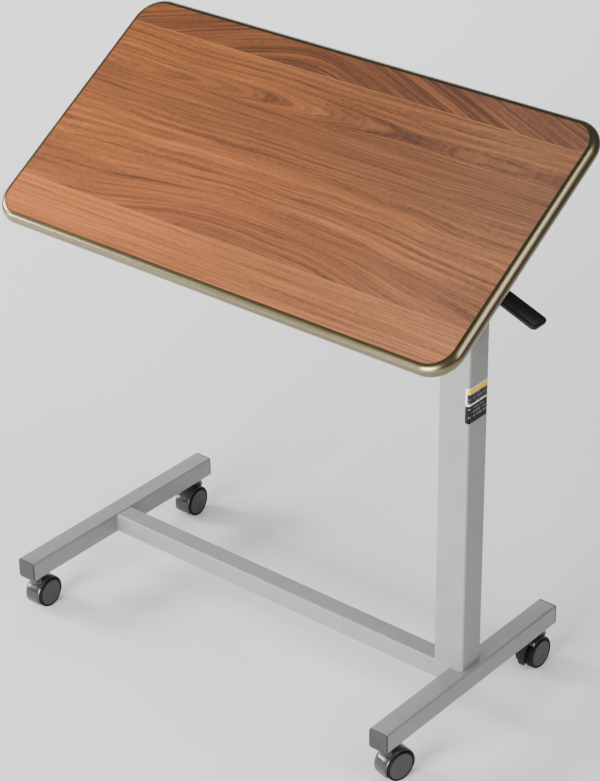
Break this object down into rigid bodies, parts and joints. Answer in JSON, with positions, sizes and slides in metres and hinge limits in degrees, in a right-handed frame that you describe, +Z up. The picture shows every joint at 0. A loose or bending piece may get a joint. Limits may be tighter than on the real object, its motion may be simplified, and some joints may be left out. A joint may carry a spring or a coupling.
{
  "type": "overbed table",
  "caption": "Overbed table: H-shaped base on casters, gas-spring height column with a release lever, and a tilting wood-grain top.",
  "frame": {"origin": "on the floor, under the middle of the bounding box", "axes": "+X from the open side to the column side, +Y away from the user, +Z up"},
  "size_m": [0.768, 0.387, 0.8463],
  "materials": {
    "silver_paint": "fine textured silver-grey powder coat, semi-matt",
    "mast_steel": "bright drawn steel tube",
    "grey_plastic": "moulded mid-grey plastic",
    "plain_steel": "plain steel plate",
    "zinc_steel": "zinc-plated steel",
    "nylon": "black nylon",
    "label_film": null,
    "black_paint": "black paint",
    "chromed_rod": "hard chrome",
    "aluminium_part": "machined",
    "brass_pin": "machined",
    "black_plastic": "moulded black plastic, slight sheen",
    "wood_board": "particle board core",
    "walnut_laminate": "walnut wood-grain laminate, satin",
    "backing_laminate": "plain backing laminate",
    "bronze_edge": "bronze-brown flexible edge moulding, semi-gloss",
    "caster_hood": "glossy dark moulded nylon",
    "axle_steel": "zinc-plated steel",
    "caster_wheel": "black tread with a dark grey disc"
  },
  "bodies": {
    "base": {"left_rail": "silver_paint", "right_rail": "silver_paint", "cross_rail": "silver_paint", "front_left_end_cap": "grey_plastic", "rear_left_end_cap": "grey_plastic", "front_right_end_cap": "grey_plastic", "rear_right_end_cap": "grey_plastic", "column_tube": "silver_paint", "column_foot_plate": "plain_steel", "upper_guide_bushing": "nylon", "column_labels": "label_film", "gas_spring_cylinder": "black_paint", "gas_spring_rod_guide": "nylon", "gas_spring_foot_nut": "zinc_steel", "caster_stems": "zinc_steel", "caster_stem_nuts": "zinc_steel"},
    "mast": {"mast_tube": "mast_steel", "lower_guide_bushing": "nylon", "mast_head": "silver_paint", "gas_spring_top_plate": "plain_steel", "gas_spring_rod": "chromed_rod", "gas_spring_piston": "aluminium_part", "support_arm": "silver_paint", "support_arm_cap": "nylon", "release_lever_pin": "zinc_steel"},
    "release_pin": {"release_pin": "brass_pin"},
    "release_lever": {"release_lever": "black_paint", "release_lever_paddle": "black_plastic"},
    "table_top": {"table_board": "wood_board", "top_laminate": "walnut_laminate", "underside_laminate": "backing_laminate", "edge_moulding": "bronze_edge", "left_tilt_bracket": "silver_paint", "right_tilt_bracket": "silver_paint", "left_tilt_bushing": "nylon", "right_tilt_bushing": "nylon", "tilt_clamp": "silver_paint", "tilt_clamp_bolt": "zinc_steel", "tilt_clamp_nut": "zinc_steel", "bracket_screws": "zinc_steel"},
    "tilt_lever": {"tilt_lever": "black_paint", "tilt_lever_grip": "black_plastic"},
    "front_left_caster": {"front_left_caster_housing": "caster_hood", "front_left_caster_axle": "axle_steel"},
    "front_left_outer_wheel": {"front_left_outer_wheel": "caster_wheel"},
    "front_left_inner_wheel": {"front_left_inner_wheel": "caster_wheel"},
    "front_right_caster": {"front_right_caster_housing": "caster_hood", "front_right_caster_axle": "axle_steel"},
    "front_right_outer_wheel": {"front_right_outer_wheel": "caster_wheel"},
    "front_right_inner_wheel": {"front_right_inner_wheel": "caster_wheel"},
    "rear_left_caster": {"rear_left_caster_housing": "caster_hood", "rear_left_caster_axle": "axle_steel"},
    "rear_left_outer_wheel": {"rear_left_outer_wheel": "caster_wheel"},
    "rear_left_inner_wheel": {"rear_left_inner_wheel": "caster_wheel"},
    "rear_right_caster": {"rear_right_caster_housing": "caster_hood", "rear_right_caster_axle": "axle_steel", "brake_pedal_pin": "zinc_steel"},
    "rear_right_outer_wheel": {"rear_right_outer_wheel": "caster_wheel"},
    "rear_right_inner_wheel": {"rear_right_inner_wheel": "caster_wheel"},
    "brake_pedal": {"brake_pedal": "black_plastic"}
  },
  "joints": [
    {"name": "height_slide", "type": "slide", "parent": "base", "child": "mast", "axis": [0, 0, 1], "range_m": [-0.042, 0.39]},
    {"name": "top_tilt", "type": "hinge", "parent": "mast", "child": "table_top", "pos_m": [0, 0.0023, 0.703], "axis": [1, 0, 0], "range_deg": [-65.3, 0.7]},
    {"name": "release_lever_pull", "type": "hinge", "parent": "mast", "child": "release_lever", "pos_m": [0.283, 0.0023, 0.6707], "axis": [0, -1, 0], "range_deg": [0, 8], "stiffness_Nm_per_rad": 6, "springref_deg": -8.59},
    {"name": "release_pin_press", "type": "slide", "parent": "mast", "child": "release_pin", "axis": [0, 0, -1], "range_m": [0, 0.0021]},
    {"name": "tilt_lever_turn", "type": "hinge", "parent": "table_top", "child": "tilt_lever", "pos_m": [0.057, 0.00318, 0.67279], "axis": [0, -0.8453, -0.5344], "range_deg": [0, 60]},
    {"name": "front_left_swivel", "type": "hinge", "parent": "base", "child": "front_left_caster", "pos_m": [-0.3607, -0.175, 0.05], "axis": [0, 0, 1], "continuous": true},
    {"name": "front_left_outer_wheel_roll", "type": "hinge", "parent": "front_left_caster", "child": "front_left_outer_wheel", "pos_m": [-0.36114, -0.16101, 0.0225], "axis": [0.9995, 0.0314, 0], "continuous": true},
    {"name": "front_left_inner_wheel_roll", "type": "hinge", "parent": "front_left_caster", "child": "front_left_inner_wheel", "pos_m": [-0.36114, -0.16101, 0.0225], "axis": [0.9995, 0.0314, 0], "continuous": true},
    {"name": "front_right_swivel", "type": "hinge", "parent": "base", "child": "front_right_caster", "pos_m": [0.2859, -0.175, 0.05], "axis": [0, 0, 1], "continuous": true},
    {"name": "front_right_outer_wheel_roll", "type": "hinge", "parent": "front_right_caster", "child": "front_right_outer_wheel", "pos_m": [0.28919, -0.16139, 0.0225], "axis": [0.972, -0.2351, 0], "continuous": true},
    {"name": "front_right_inner_wheel_roll", "type": "hinge", "parent": "front_right_caster", "child": "front_right_inner_wheel", "pos_m": [0.28919, -0.16139, 0.0225], "axis": [0.972, -0.2351, 0], "continuous": true},
    {"name": "rear_left_swivel", "type": "hinge", "parent": "base", "child": "rear_left_caster", "pos_m": [-0.3607, 0.175, 0.05], "axis": [0, 0, 1], "continuous": true},
    {"name": "rear_left_outer_wheel_roll", "type": "hinge", "parent": "rear_left_caster", "child": "rear_left_outer_wheel", "pos_m": [-0.35955, 0.16105, 0.0225], "axis": [0.9966, 0.0819, 0], "continuous": true},
    {"name": "rear_left_inner_wheel_roll", "type": "hinge", "parent": "rear_left_caster", "child": "rear_left_inner_wheel", "pos_m": [-0.35955, 0.16105, 0.0225], "axis": [0.9966, 0.0819, 0], "continuous": true},
    {"name": "rear_right_swivel", "type": "hinge", "parent": "base", "child": "rear_right_caster", "pos_m": [0.2859, 0.175, 0.05], "axis": [0, 0, 1], "continuous": true},
    {"name": "rear_right_outer_wheel_roll", "type": "hinge", "parent": "rear_right_caster", "child": "rear_right_outer_wheel", "pos_m": [0.28546, 0.16101, 0.0225], "axis": [0.9995, -0.0314, 0], "continuous": true},
    {"name": "rear_right_inner_wheel_roll", "type": "hinge", "parent": "rear_right_caster", "child": "rear_right_inner_wheel", "pos_m": [0.28546, 0.16101, 0.0225], "axis": [0.9995, -0.0314, 0], "continuous": true},
    {"name": "brake_pedal_press", "type": "hinge", "parent": "rear_right_caster", "child": "brake_pedal", "pos_m": [0.28497, 0.14524, 0.04503], "axis": [0.9995, -0.0314, 0], "range_deg": [0, 5]}
  ],
  "couplings": [
    {"joint": "release_pin_press", "follows": "release_lever_pull", "m_per_rad": 0.0148}
  ]
}
